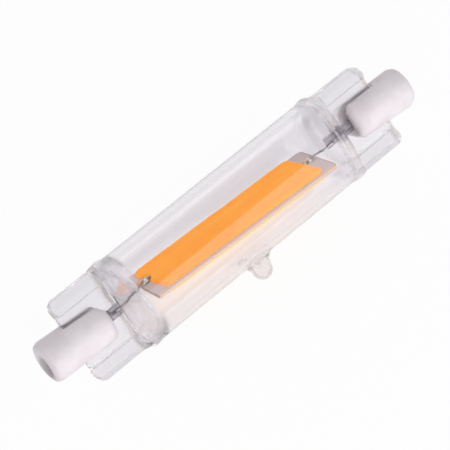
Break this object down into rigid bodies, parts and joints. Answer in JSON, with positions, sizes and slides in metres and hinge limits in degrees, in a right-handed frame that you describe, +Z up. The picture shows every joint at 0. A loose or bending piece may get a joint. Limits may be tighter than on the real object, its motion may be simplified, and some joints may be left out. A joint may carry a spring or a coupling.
{
  "type": "linear led bulb",
  "caption": "Double-ended linear lamp: clear glass tube with flat pinched ends, an orange phosphor light strip inside, and a white ceramic cap with a recessed contact on each end.",
  "frame": {"origin": "under the middle of the lamp, on the surface that it lies on: centre of the bottom of its box", "axes": "+X along the tube from the near end to the far end, +Z up as the lamp lies on its tube and its exhaust pip, which points to -Y and down"},
  "size_m": [0.0782, 0.0176, 0.016],
  "materials": {
    "glass": "clear polished glass, fire-polished edges",
    "substrate": "thin translucent strip, matt",
    "phosphor": "orange phosphor in silicone, satin",
    "chip": "small semiconductor dies",
    "pad": "thin plated metal pad",
    "solder": "bright solder",
    "lead": "drawn wire",
    "foil": "dark grey metal ribbon",
    "ceramic": "unglazed white ceramic",
    "cement": "dry white cement",
    "contact": "plated contact face"
  },
  "bodies": {
    "root": {"cap_cement_far": "cement", "cap_cement_near": "cement", "ceramic_cap_far": "ceramic", "ceramic_cap_near": "ceramic", "contact_button_far": "contact", "contact_button_near": "contact", "contact_pad_far": "pad", "contact_pad_near": "pad", "glass_envelope": "glass", "inner_lead_far": "lead", "inner_lead_near": "lead", "led_chips": "chip", "led_substrate": "substrate", "outer_lead_far": "lead", "outer_lead_near": "lead", "phosphor_back": "phosphor", "phosphor_front": "phosphor", "seal_foil_far": "foil", "seal_foil_near": "foil", "solder_joint_far": "solder", "solder_joint_near": "solder"}
  },
  "joints": []
}
